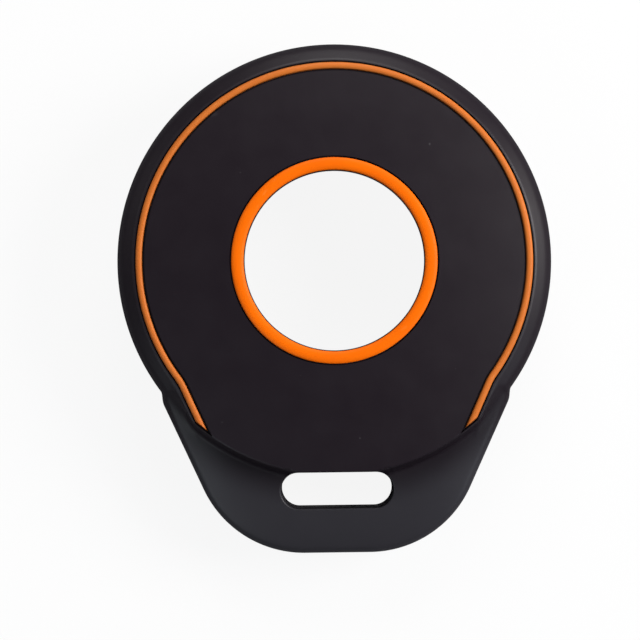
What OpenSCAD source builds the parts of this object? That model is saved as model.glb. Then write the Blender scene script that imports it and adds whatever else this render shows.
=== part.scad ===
// Soft cover for a round-headed key fob, lying on its back with the front face up.
// The shapes are drawn about the axis of the round window, with the tail towards -Y.

/* [Cover] */
// Width across the round head
head_w = 54; // [53:0.25:56]
// Depth from the back lip to the window's rim
cover_depth = 16; // [15:0.25:18]
// Thickness of the silicone walls
wall = 1.8; // [1.6:0.05:2]
// Radius of the gentle dome of the front face
dome_r = 150; // [130:5:200]
// Radius of the rounded back edge
back_edge_r = 1.5; // [1.1:0.05:1.7]

/* [Head rim] */
// Lean of the bevel that falls away outside the accent line, in degrees
rim_lean = 30; // [25:1:35]
// Radius between the bevel and the side wall
rim_r = 0.9; // [0.6:0.05:1.2]

/* [Window ring] */
// Width of the round window through the front wall
window_d = 22.2; // [21:0.1:23]
// Width of the orange ring, seen from in front
ring_w = 1.52; // [1.4:0.02:1.8]
// Width of the black ledge that shows inside the ring
ledge_w = 0.12; // [0.1:0.01:0.3]
// Depth of the rebate that holds the ring
ring_seat = 0.9; // [0.8:0.05:1]
// Height of the ring's crown above the window's rim
ring_proud = 0.15; // [0.05:0.01:0.25]

/* [Accent line] */
// Distance from the head's outline to the middle of the line
line_inset = 2.85; // [2.6:0.05:3]
// Distance from the line's circle in to its straight ends
line_side_in = 0.55; // [0.4:0.05:0.7]
// Width of the line
line_w = 0.8; // [0.7:0.02:1]
// Depth of the groove that holds the line
line_seat = 0.7; // [0.5:0.05:0.8]
// Radius of the bend where the line leaves the head's curve
bend_r = 6.5; // [5:0.25:8]

/* [Tail] */
// Length of the tail beyond the round head
tail_out = 9.5; // [9:0.1:10]
// Radius of the two corners of the tail
tail_corner_r = 13.8; // [13.4:0.1:14.2]
// Width of the straight end of the tail
tail_end_w = 8.2; // [7.8:0.1:9]
// Distance from the head's outline in to the line of the tail's straight sides
tail_side_in = 0.2; // [0.2:0.02:0.5]
// Distance from the head's outline out to the upper ends of those sides
tail_root_out = 0.83; // [0.6:0.01:1]
// Height from the tail up to the dome at the head's outline
step_h = 2.9; // [2.7:0.1:3.5]
// Fall of the tail's front face towards its end, in degrees
tail_fall = 11.3; // [10.5:0.1:12]
// Radius of the rounded front rim of the tail
tail_rim_r = 2.5; // [2:0.1:2.8]

/* [Key ring slot] */
// Length of the slot
slot_len = 14; // [13:0.1:14.5]
// Width of the slot
slot_w = 4.9; // [4.5:0.1:5.2]
// Distance from the end of the tail to the middle of the slot
slot_from_end = 7.9; // [7.6:0.1:8.2]

/* [Back opening] */
// Width of the opening in the back that the fob is pressed in through
back_open_d = 38; // [34:0.5:41]

/* [Hidden] */
$fn = 96;
// Steps round the dome's large circle
dome_steps = 720;
// Steps round the small rims that are joined into the tail
rim_steps = 24;
// Steps along the line's main arc and along each of its two bends
arc_steps = 32;
bend_steps = 4;
// Length by which a cut runs past a face
overrun = 5;
// Radius of the crown across the ring
crown_r = 1.3;
// Width of the small bevel at the mouth of the ring's rebate
ring_lip = 0.3;
// Width and depth of the relief on both sides of the accent line
line_lip = 0.25;
// Gap on each side between the accent line and its groove
line_fit = 0.02;
// Height of the line's top above the face
line_proud = 0.06;
// Width of the raised face outside the middle of the line
face_lip = 0.8;
// Radius of the raised face's edge above the tail
step_r = 1.2;
// Distance from the head's outline out to the foot of that edge
step_out = 0.1;
// Distance from the foot of that edge in to the tips of the line
tip_inset = 0.4;
// Radii of the corners where the pocket's floor and ceiling meet its wall
pocket_r = 0.5;
pocket_top_r = 0.9;
// Width of the bevel round the back opening
mouth_bevel = 0.4;

head_r = head_w / 2;
tail_len = head_r + tail_out;
window_y = tail_out / 2;
window_r = window_d / 2;
ring_in_r = window_r + ledge_w;
ring_out_r = ring_in_r + ring_w;
seat_z = cover_depth - ring_seat;
back_open_r = back_open_d / 2;
line_r = head_r - line_inset;
step_edge_r = head_r + step_out;
tip_r = step_edge_r - tip_inset;
dome_mid_z = cover_depth - sqrt(dome_r * dome_r - ring_out_r * ring_out_r);
tail_depth = dome_mid_z + sqrt(dome_r * dome_r - head_r * head_r) - step_h;

// The tail's side is tangent to its corner and passes side_gap from the window's axis.
corner_at = [tail_end_w / 2, tail_corner_r - tail_len];
side_gap = head_r - tail_side_in;
side_lean = atan2(-corner_at.y, corner_at.x) - acos((side_gap - tail_corner_r) / norm(corner_at));
// Direction straight out from the right side, and the direction up along it.
side_out = [cos(side_lean), -sin(side_lean)];
side_up = [sin(side_lean), cos(side_lean)];
side_foot = corner_at + tail_corner_r * side_out;
root_r = head_r + tail_root_out;
side_root = side_gap * side_out - sqrt(root_r * root_r - side_gap * side_gap) * side_up;

slot_r = slot_w / 2;
slot_y = slot_from_end - tail_len;

// Puts a shape drawn about the window's axis into the cover's own frame.
module on_window() {
    translate([0, window_y, 0])
        children();
}

// Puts a shape into the plane of the tail's front face, at the head's outline.
module on_tail_face() {
    translate([0, -head_r, tail_depth])
        rotate([tail_fall, 0, 0])
            children();
}

// Repeats a shape on the left as its mirror image.
module both_sides() {
    children();
    mirror([1, 0, 0])
        children();
}

// Half section under the dome, out to a radius.
module dome_section(inset, out_r) {
    intersection() {
        translate([0, dome_mid_z])
            circle(dome_r - inset, $fn = dome_steps);
        translate([0, inset])
            square([out_r, cover_depth + overrun]);
    }
}

// Half section of an upright wall from the back edge round up to a height.
module wall_section(inset, edge, back_r, top) {
    translate([0, inset + back_r])
        square([edge, top - inset - back_r]);
    translate([0, inset])
        square([edge - back_r, back_r]);
    translate([edge - back_r, inset + back_r])
        circle(back_r);
}

// Domed disc whose front edge is rounded, drawn inset inside the surface it is given for.
module domed_disc(inset, edge_r, front_r, back_r) {
    dome = dome_r - inset;
    edge = edge_r - inset;
    round_r = front_r - inset;
    mid = edge - round_r;
    // The round is tangent to the dome inside and to the wall outside.
    mid_z = dome_mid_z + sqrt(pow(dome - round_r, 2) - mid * mid);
    rotate_extrude() {
        dome_section(inset, mid * dome / (dome - round_r));
        translate([mid, mid_z])
            circle(round_r);
        wall_section(inset, edge, back_r, mid_z);
    }
}

// Round head with a bevel that starts outside the accent line.
module head_disc() {
    bevel_in = line_r + face_lip;
    bevel_z = dome_mid_z + sqrt(dome_r * dome_r - bevel_in * bevel_in);
    bevel_fall = tan(rim_lean);
    mid = head_r - rim_r;
    mid_z = bevel_z - (mid - bevel_in) * bevel_fall - rim_r / cos(rim_lean);
    touch = [mid + rim_r * sin(rim_lean), mid_z + rim_r * cos(rim_lean)];
    rotate_extrude() {
        intersection() {
            dome_section(0, head_r);
            polygon([[0, mid_z / 2], [0, bevel_z + bevel_in * bevel_fall], touch, [mid, mid_z], [mid, mid_z / 2]]);
        }
        translate([mid, mid_z])
            circle(rim_r);
        wall_section(0, head_r, back_edge_r, mid_z);
    }
}

// Points along an arc after its first point.
function arc_points(mid, r, from, to, steps) = [
    for (i = [1:steps])
        let (angle = from + (to - from) * i / steps)
            mid + r * [cos(angle), sin(angle)]
];

// The same points on the left side, in the opposite order, without the last skip points.
function mirrored(points, skip = 0) = [
    for (i = [len(points) - 1 - skip:-1:0]) [-points[i].x, points[i].y]
];

// Middle of the bend where the face's outline leaves the head's curve. It lies outside both.
function bend_mid(arc_r, side_at, bend) =
    (side_at + bend) * side_out - sqrt(pow(arc_r + bend, 2) - pow(side_at + bend, 2)) * side_up;

// Right side of the face's outline from the tail up to the head's curve, drawn at a distance
// grow outside the line's middle and starting end_r from the window's axis.
function side_path(grow, end_r) =
    let (arc_r = line_r + grow)
    let (side_at = line_r - line_side_in + grow)
    let (bend = bend_r - grow)
    let (mid = bend_mid(arc_r, side_at, bend))
    let (end = side_at * side_out - sqrt(end_r * end_r - side_at * side_at) * side_up)
    let (turn_from = 180 - side_lean)
    let (turn_to = 180 + atan2(mid.y, mid.x))
    concat([end, mid - bend * side_out], arc_points(mid, bend, turn_from, turn_to, bend_steps));

// Right half of the face's outline, from the tail up to the top of the head.
function half_path(grow, end_r) =
    let (side = side_path(grow, end_r))
    let (leave = side[len(side) - 1])
    concat(side, arc_points([0, 0], line_r + grow, atan2(leave.y, leave.x), 90, arc_steps));

// Band along the accent line, half_w to each side of its middle, with its tips cut off
// along the head's curve.
module line_band(half_w, end_r) {
    outer = half_path(half_w, end_r);
    inner = half_path(-half_w, end_r);
    inner_left = [for (point = inner) [-point.x, point.y]];
    inner_right = [for (i = [len(inner) - 2:-1:0]) inner[i]];
    translate([0, 0, tail_depth])
        linear_extrude(cover_depth)
            polygon(concat(outer, mirrored(outer, 1), inner_left, inner_right));
}

// The raised face between its two straight sides, down to the step above the tail.
module face_wedge() {
    side = side_path(face_lip, tail_len);
    intersection() {
        domed_disc(0, step_edge_r, step_r, back_edge_r);
        linear_extrude(cover_depth + overrun)
            polygon(concat(side, mirrored(side)));
    }
}

// Solid below the floor of the accent line's groove. It reaches out past the line's tips.
module line_floor() {
    domed_disc(line_seat, step_edge_r + line_seat, step_r, pocket_r);
}

// Cut for the accent line: a groove with a shallow relief at its mouth.
module line_groove() {
    difference() {
        line_band(line_w / 2 + line_fit, tip_r + line_fit);
        line_floor();
    }
    difference() {
        line_band(line_w / 2 + line_lip, tip_r);
        domed_disc(line_lip, step_edge_r, step_r, pocket_r);
    }
}

// Outline of the tail, drawn inset inside its wall.
module tail_outline(inset) {
    end = [corner_at.x, inset - tail_len];
    foot = side_foot - inset * side_out;
    root = side_root - inset * side_out;
    right = [end, foot, root];
    polygon(concat(right, mirrored(right)));
    both_sides()
        translate(corner_at)
            circle(tail_corner_r - inset);
}

// Round rim of radius rim at the corners of the tail's outline.
module tail_rims(rim) {
    both_sides() {
        translate(corner_at)
            rotate_extrude($fn = 3 * rim_steps)
                translate([tail_corner_r - rim, 0])
                    circle(rim, $fn = rim_steps);
        translate(side_root - rim * side_out)
            sphere(rim, $fn = rim_steps);
    }
}

// Tail with a level back and a front face that falls towards the end.
module tail_block() {
    fall = tan(tail_fall);
    hull() {
        multmatrix([[1, 0, 0, 0], [0, 1, 0, 0], [0, fall, 1, tail_depth + head_r * fall - tail_rim_r]])
            tail_rims(tail_rim_r);
        translate([0, 0, back_edge_r])
            tail_rims(back_edge_r);
    }
}

// Pocket for the fob's tail, with a ceiling level with the front face.
module tail_pocket() {
    intersection() {
        translate([0, 0, wall])
            linear_extrude(cover_depth)
                tail_outline(wall);
        on_tail_face()
            translate([-head_w, -head_w, -cover_depth - wall])
                cube([2 * head_w, 2 * head_w, cover_depth]);
    }
}

// Cut with round ends through both walls of the tail.
module slot_cut() {
    half = slot_len / 2 - slot_r;
    translate([0, slot_y, -overrun])
        linear_extrude(cover_depth + 2 * overrun) {
            square([2 * half, slot_w], center = true);
            both_sides()
                translate([half, 0])
                    circle(slot_r);
        }
}

// Stepped cut through the front wall: the window with the rebate for its ring above.
module window_cut() {
    translate([0, 0, seat_z - overrun])
        cylinder(r = window_r, h = 2 * overrun);
    translate([0, 0, seat_z])
        cylinder(r = ring_out_r, h = ring_seat + overrun);
    translate([0, 0, cover_depth - ring_lip])
        cylinder(r1 = ring_out_r, r2 = ring_out_r + 2 * ring_lip, h = 2 * ring_lip);
}

// Cut through the back wall, with a bevel round its outer edge.
module back_cut() {
    translate([0, 0, -overrun])
        cylinder(r = back_open_r, h = wall + 2 * overrun);
    cylinder(r1 = back_open_r + mouth_bevel, r2 = back_open_r, h = mouth_bevel);
}

// Solid head and raised face with the groove cut in.
module grooved_head() {
    difference() {
        union() {
            head_disc();
            face_wedge();
        }
        line_groove();
    }
}

module cover_body() {
    color("dimgray")
        on_window()
            difference() {
                union() {
                    grooved_head();
                    tail_block();
                }
                domed_disc(wall, head_r, pocket_top_r + wall, pocket_r);
                tail_pocket();
                back_cut();
                window_cut();
                slot_cut();
            }
}

module window_ring() {
    ring_h = ring_seat + ring_proud;
    color("darkorange")
        on_window()
            translate([0, 0, seat_z])
                rotate_extrude()
                    translate([ring_in_r, 0])
                        intersection() {
                            square([ring_w, ring_h]);
                            translate([ring_w / 2, ring_h - crown_r])
                                circle(crown_r);
                        }
}

module accent_line() {
    color("orange")
        on_window()
            intersection() {
                line_band(line_w / 2, tip_r);
                difference() {
                    domed_disc(-line_proud, step_edge_r, step_r, back_edge_r);
                    line_floor();
                }
            }
}

cover_body();
window_ring();
accent_line();
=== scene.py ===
"""Looks of a soft cover for a round-headed key fob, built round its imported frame.

The cover lies on its back with the front face up. Sizes are in millimetres and shapes are
drawn about the axis of the round window, with the tail towards -Y. Shell.build and
Inlay.path_object put them into the frame, in metres.
"""

from __future__ import annotations

import logging
import math
from dataclasses import dataclass
from enum import Enum
from typing import Callable, Iterable

import bmesh
import bpy
import numpy as np
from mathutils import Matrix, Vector
from mathutils.geometry import delaunay_2d_cdt

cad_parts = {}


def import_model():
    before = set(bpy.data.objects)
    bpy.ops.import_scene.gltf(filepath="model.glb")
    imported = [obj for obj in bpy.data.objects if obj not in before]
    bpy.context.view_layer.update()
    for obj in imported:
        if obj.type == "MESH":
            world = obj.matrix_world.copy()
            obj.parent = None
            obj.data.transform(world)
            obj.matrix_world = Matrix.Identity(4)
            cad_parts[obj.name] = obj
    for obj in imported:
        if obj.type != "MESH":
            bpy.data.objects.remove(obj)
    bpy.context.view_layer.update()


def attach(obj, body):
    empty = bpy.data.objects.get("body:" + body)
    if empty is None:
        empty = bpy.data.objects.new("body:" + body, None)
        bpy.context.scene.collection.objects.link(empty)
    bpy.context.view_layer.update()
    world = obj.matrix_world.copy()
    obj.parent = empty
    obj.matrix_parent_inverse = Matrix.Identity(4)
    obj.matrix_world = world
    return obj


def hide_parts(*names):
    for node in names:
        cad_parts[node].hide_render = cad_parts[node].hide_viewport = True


# Metres in a millimetre.
MM = 0.001
# Distance in millimetres up to which points count as touching.
HAIR = 1e-4
# Distance in metres within which points of a mesh are joined.
WELD = 1e-7
# Angle from which an edge between faces is shown sharp.
SHARP_ANGLE = math.radians(50.0)
Points = np.ndarray
Values = np.ndarray
Steps = tuple[float, ...]


class Colour(Enum):
    """Colours of the silicone, of what lies on it, of light and shade painted on it and of the studio, as
    linear red, green, blue.
    """

    BLACK = (0.0085, 0.0048, 0.0083)
    BLACK_LIGHT = (0.0105, 0.0063, 0.0103)
    # Painted light: the paler, bluish tone laid on the tail in place of the light that falls on it.
    PAINTED_TAIL_LIGHT = (0.0262, 0.0243, 0.0298)
    ORANGE = (0.95, 0.165, 0.0012)
    ORANGE_DEEP = (0.86, 0.13, 0.001)
    # The accent line's orange: the ring's orange set darker and paler, with painted shade and sheen.
    SHADED_ORANGE = (0.65, 0.18, 0.028)
    SHADED_ORANGE_DEEP = (0.54, 0.125, 0.015)
    DUST = (0.30, 0.29, 0.30)
    RUBBED_BLACK = (0.034, 0.031, 0.035)
    RUBBED_ORANGE = (0.95, 0.33, 0.06)
    # The rubbed colour of the line, with the same painted shade and sheen.
    RUBBED_SHADED_ORANGE = (0.80, 0.36, 0.10)
    WHITE = (1.0, 1.0, 1.0)
    ROOM = (0.95, 0.96, 1.0)
    TABLE = (0.80, 0.80, 0.80)
    TABLE_LIGHT = (0.84, 0.84, 0.84)
    TABLE_GLOW = (0.22, 0.22, 0.23)

    @property
    def opaque(self) -> tuple[float, float, float, float]:
        """The colour as a colour socket takes it."""
        return (*self.value, 1.0)


def smooth_share(value: Values) -> Values:
    """Eases numbers from 0 to 1, held at 0 below and at 1 above."""
    share = np.clip(value, 0.0, 1.0)
    return share * share * (3.0 - 2.0 * share)


def smooth_max(one: Values, other: Values | float, blend: float) -> Values:
    """Takes the larger of two values, with a fillet where they differ by less than the blend."""
    share = np.clip(0.5 + 0.5 * (other - one) / blend, 0.0, 1.0)
    return one + (other - one) * share + blend * share * (1.0 - share)


def round_drop(gap: Values, radius: Values | float) -> Values:
    """Drop of a quarter round at a gap in from its edge: the radius at the edge, 0 past the round."""
    left = np.clip(radius - gap, 0.0, radius)
    return radius - np.sqrt(np.maximum(radius * radius - left * left, 0.0))


def quarter(steps: int) -> Values:
    """Angles of a quarter turn, in equal steps from 0."""
    return np.radians(np.linspace(0.0, 90.0, steps + 1))


def polar(turn: Values, reach: Values | float) -> Points:
    """Points at a turn from the tail's direction, towards +X, and a reach from the window's axis."""
    return np.column_stack([reach * np.sin(turn), -reach * np.cos(turn)])


def circle(radius: float, count: int) -> Points:
    """A closed ring of points about the window's axis."""
    return polar(np.linspace(-np.pi, np.pi, count, endpoint=False), radius)


def reach_of(points: Points) -> Values:
    """Distance of each point in the plan from the window's axis."""
    return np.hypot(*points.T)


def turn_of(points: Points) -> Values:
    """Angle of each point from the tail's direction, without its sign: pi at the top of the head."""
    return np.arctan2(np.abs(points[:, 0]), -points[:, 1])


def folded(points: Points) -> Points:
    """Points in the plan with the left half folded onto the right half."""
    return np.column_stack([np.abs(points[:, 0]), points[:, 1]])


def lifted(points: Points, height: Values | float) -> Points:
    """Points in the plan with a height, one for all or one for each, as x, y, z rows."""
    return np.column_stack([points, np.broadcast_to(height, len(points))])


def gathered(make: Callable[[float], Points], steps: Iterable[float]) -> Points:
    """Points of one loop for each step."""
    return np.vstack([make(step) for step in steps])


@dataclass(frozen=True)
class CoverSizes:
    """Sizes of the cover in millimetres and degrees, within 0.4 mm of those of its solids."""

    head_r: float = 27.0
    cover_depth: float = 16.0
    wall: float = 1.8
    dome_r: float = 150.0
    back_edge_r: float = 1.5
    rim_lean: float = 30.0
    rim_r: float = 0.9
    window_r: float = 11.1
    ring_w: float = 1.52
    ledge_w: float = 0.12
    ring_seat: float = 0.9
    ring_proud: float = 0.15
    line_inset: float = 2.85
    line_side_in: float = 0.67
    line_w: float = 0.8
    line_seat: float = 0.7
    line_fit: float = 0.02
    line_proud: float = 0.06
    bend_r: float = 6.5
    tip_r: float = 26.3
    face_lip: float = 0.8
    tail_out: float = 9.5
    tail_corner_r: float = 13.8
    tail_end_w: float = 8.2
    tail_side_in: float = 0.2
    tail_root_out: float = 0.83
    step_h: float = 2.9
    tail_fall: float = 11.3
    tail_rim_r: float = 2.5
    slot_len: float = 14.0
    slot_w: float = 4.6
    slot_from_end: float = 7.98
    back_open_r: float = 19.0

    @property
    def ring_in_r(self) -> float:
        """Inner radius of the window ring."""
        return self.window_r + self.ledge_w

    @property
    def ring_out_r(self) -> float:
        """Outer radius of the window ring and of the rebate that holds it."""
        return self.ring_in_r + self.ring_w

    @property
    def seat_z(self) -> float:
        """Height of the rebate's floor."""
        return self.cover_depth - self.ring_seat

    @property
    def groove_half(self) -> float:
        """Half the width of the groove that holds the accent line."""
        return self.line_w / 2 + self.line_fit

    @property
    def groove_tip_r(self) -> float:
        """Distance of the groove's tips from the window's axis."""
        return self.tip_r + self.line_fit

    @property
    def window_y(self) -> float:
        """Place of the window's axis along the cover."""
        return self.tail_out / 2

    @property
    def tail_len(self) -> float:
        """Distance from the window's axis to the end of the tail."""
        return self.head_r + self.tail_out

    @property
    def slot_y(self) -> float:
        """Place of the slot's middle below the window's axis."""
        return self.slot_from_end - self.tail_len


@dataclass
class CoverPlan:
    """Curves of the cover seen from the front."""

    sizes: CoverSizes
    neck_blend: float = 0.5
    least_root_r: float = 0.05
    least_cosine: float = 0.1
    tip_points: int = 6

    def __post_init__(self) -> None:
        """Works out the tail's tangent side and the bend of the line."""
        sizes = self.sizes
        self.corner = np.array([sizes.tail_end_w / 2, sizes.tail_corner_r - sizes.tail_len])
        self.side_gap = sizes.head_r - sizes.tail_side_in
        reach = math.hypot(*self.corner)
        side_turn = math.acos((self.side_gap - sizes.tail_corner_r) / reach)
        lean = math.atan2(-self.corner[1], self.corner[0]) - side_turn
        self.out = np.array([math.cos(lean), -math.sin(lean)])
        self.up = np.array([math.sin(lean), math.cos(lean)])
        self.out_turn = math.pi / 2 - lean
        root_r = sizes.head_r + sizes.tail_root_out
        root = self.side_gap * self.out - math.sqrt(root_r**2 - self.side_gap**2) * self.up
        self.root_mid = root - sizes.tail_rim_r * self.out
        self.line_r = sizes.head_r - sizes.line_inset
        self.side_at = self.line_r - sizes.line_side_in
        bend_out = self.side_at + sizes.bend_r
        self.bend_at = np.array([bend_out, -math.sqrt((self.line_r + sizes.bend_r) ** 2 - bend_out**2)])

    @staticmethod
    def far_hit(turn: Values, middle: Points, radius: float) -> Values:
        """Distance from the window's axis to the far side of a circle.

        Args:
            turn: Angles of the rays.
            middle: Middle of the circle.
            radius: Radius of the circle.

        Returns:
            The distances, 0 where a ray misses.
        """
        along = middle[0] * np.sin(turn) - middle[1] * np.cos(turn)
        left = radius**2 - middle @ middle + along**2
        return np.where(left >= 0.0, along + np.sqrt(np.maximum(left, 0.0)), 0.0)

    def tail_reach(self, turn: Values, inset: float) -> Values:
        """Distance from the window's axis to the tail's outline.

        Args:
            turn: Angles from the tail's direction.
            inset: Distance inside the outline.

        Returns:
            The distances, 0 where the tail isn't met.
        """
        sizes = self.sizes
        turn = np.abs(turn)
        corner_r = sizes.tail_corner_r - inset
        root_r = max(sizes.tail_rim_r - inset, self.least_root_r)
        foot = self.corner + corner_r * self.out
        root = self.root_mid + root_r * self.out
        end = (sizes.tail_len - inset) / np.maximum(np.cos(turn), self.least_cosine)
        side = (self.side_gap - inset) / np.maximum(np.cos(turn - self.out_turn), self.least_cosine)
        stops = [
            math.atan2(self.corner[0], sizes.tail_len - inset),
            math.atan2(foot[0], -foot[1]),
            math.atan2(root[0], -root[1]),
        ]
        reaches = [end, self.far_hit(turn, self.corner, corner_r), side]
        beyond = self.far_hit(turn, self.root_mid, root_r)
        return np.select([turn < stop for stop in stops], reaches, beyond)

    def outline(self, turn: Values, inset: float = 0.0) -> Points:
        """Outline of head and tail at the turns, inset by a distance, with a fillet in each neck."""
        head = np.full_like(turn, self.sizes.head_r - inset)
        return polar(turn, smooth_max(head, self.tail_reach(turn, inset), self.neck_blend))

    def within(self, points: Points, inset: float = 0.0) -> Values:
        """Tells which points lie inside the inset outline by more than a hair."""
        limit = self.outline(np.arctan2(points[:, 0], -points[:, 1]), inset)
        return reach_of(points) < reach_of(limit) - HAIR

    def tail_gap(self, points: Points) -> Values:
        """Distance inside the tail's outline.

        Args:
            points: Points in the plan.

        Returns:
            Distances, below 0 outside.
        """
        sizes = self.sizes
        near = folded(points)
        side = self.side_gap - near @ self.out
        end = sizes.tail_len + near[:, 1]
        from_corner = near - self.corner
        in_corner = (from_corner[:, 0] > 0) & (from_corner @ self.up < 0)
        corner = sizes.tail_corner_r - reach_of(from_corner)
        from_root = near - self.root_mid
        root = sizes.tail_rim_r - reach_of(from_root)
        above = from_root @ self.up > 0
        return np.select([above, in_corner], [root, corner], np.minimum(side, end))

    def rim_gap(self, points: Points) -> Values:
        """Distance inside the cover's outline, 0 on it and outside."""
        head = self.sizes.head_r - reach_of(points)
        return np.maximum(smooth_max(head, self.tail_gap(points), self.neck_blend), 0.0)

    def line_gap(self, points: Points) -> Values:
        """Signed distance outwards from the middle of the accent line.

        Args:
            points: Points in the plan.

        Returns:
            Distances, below 0 on the window's side of the line.
        """
        near = folded(points)
        across = near @ self.out
        along = near @ self.up
        bend = self.sizes.bend_r - np.hypot(across - self.bend_at[0], along - self.bend_at[1])
        on_arc = self.bend_at[0] * along - self.bend_at[1] * across > 0
        arc = reach_of(points) - self.line_r
        return np.select([along <= self.bend_at[1], on_arc], [across - self.side_at, arc], bend)

    def groove_gap(self, points: Points) -> Values:
        """Distance outside the accent line's groove and its slanted tips, below 0 in the groove."""
        past_tip = reach_of(points) - self.sizes.groove_tip_r
        return np.maximum(np.abs(self.line_gap(points)) - self.sizes.groove_half, past_tip)

    def slot_gap(self, points: Points) -> Values:
        """Distance outside the key ring slot.

        Args:
            points: Points in the plan.

        Returns:
            Distances, below 0 in the slot.
        """
        sizes = self.sizes
        past_end = np.maximum(np.abs(points[:, 0]) - (sizes.slot_len - sizes.slot_w) / 2, 0.0)
        return np.hypot(past_end, points[:, 1] - sizes.slot_y) - sizes.slot_w / 2

    def slot_loop(self, grow: float, step: float = 0.2) -> Points:
        """Closed outline of the slot.

        Args:
            grow: Distance outside the slot.
            step: Distance between points.

        Returns:
            The outline's points.
        """
        sizes = self.sizes
        radius = sizes.slot_w / 2
        half = sizes.slot_len / 2 - radius
        bends = np.linspace(-np.pi / 2, np.pi / 2, int(np.pi * radius / step))
        runs = np.linspace(half, -half, int(2 * half / step))[1:-1]
        bend = np.column_stack([half + (radius + grow) * np.cos(bends), (radius + grow) * np.sin(bends)])
        run = np.column_stack([runs, np.full_like(runs, radius + grow)])
        half_loop = np.vstack([bend, run])
        return np.vstack([half_loop, -half_loop]) + [0.0, sizes.slot_y]

    def line_path(self, grow: float, end_r: float, step: float) -> Points:
        """Course of the accent line from its right tip over the head to its left tip.

        Args:
            grow: Distance outwards from the line's middle.
            end_r: Distance of the tips from the window's axis.
            step: Distance between points on the line's middle.

        Returns:
            The course's points.
        """
        arc_r = self.line_r + grow
        side = self.side_at + grow
        bend = self.sizes.bend_r - grow
        tip = -math.sqrt(end_r**2 - side**2)
        along = np.linspace(tip, self.bend_at[1], int((self.bend_at[1] - tip) / step), endpoint=False)
        straight = side * self.out + along[:, None] * self.up
        bend_turn = math.atan2(-self.bend_at[1], self.bend_at[0])
        count = max(int(bend_turn * self.sizes.bend_r / step), 2)
        angles = np.linspace(0.0, bend_turn, count, endpoint=False)
        bend_out = self.bend_at[0] - bend * np.cos(angles)
        bend_up = self.bend_at[1] + bend * np.sin(angles)
        curve = bend_out[:, None] * self.out + bend_up[:, None] * self.up
        leave = self.bend_at[0] * self.out + self.bend_at[1] * self.up
        leave_turn = math.atan2(leave[0], -leave[1])
        turns = np.linspace(leave_turn, np.pi, int((np.pi - leave_turn) * self.line_r / step))
        right = np.vstack([straight, curve, polar(turns, arc_r)])
        left = right[-2::-1] * [-1.0, 1.0]
        return np.vstack([right, left])

    def groove_loop(self, grow: float, step: float) -> Points:
        """Closed outline of the accent line's groove, cut along a circle at its tips.

        Args:
            grow: Distance outside the groove.
            step: Distance between points on the line's middle.

        Returns:
            The outline's points.
        """
        half = self.sizes.groove_half + grow
        end_r = self.sizes.groove_tip_r + grow
        outer = self.line_path(half, end_r, step)
        inner = self.line_path(-half, end_r, step)[::-1]
        tip_from = math.atan2(outer[-1][0], -outer[-1][1])
        tip_to = math.atan2(inner[0][0], -inner[0][1])
        tip = np.linspace(tip_from, tip_to, self.tip_points + 2)[1:-1]
        return np.vstack([outer, polar(tip, end_r), inner, polar(-tip[::-1], end_r)])


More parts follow.
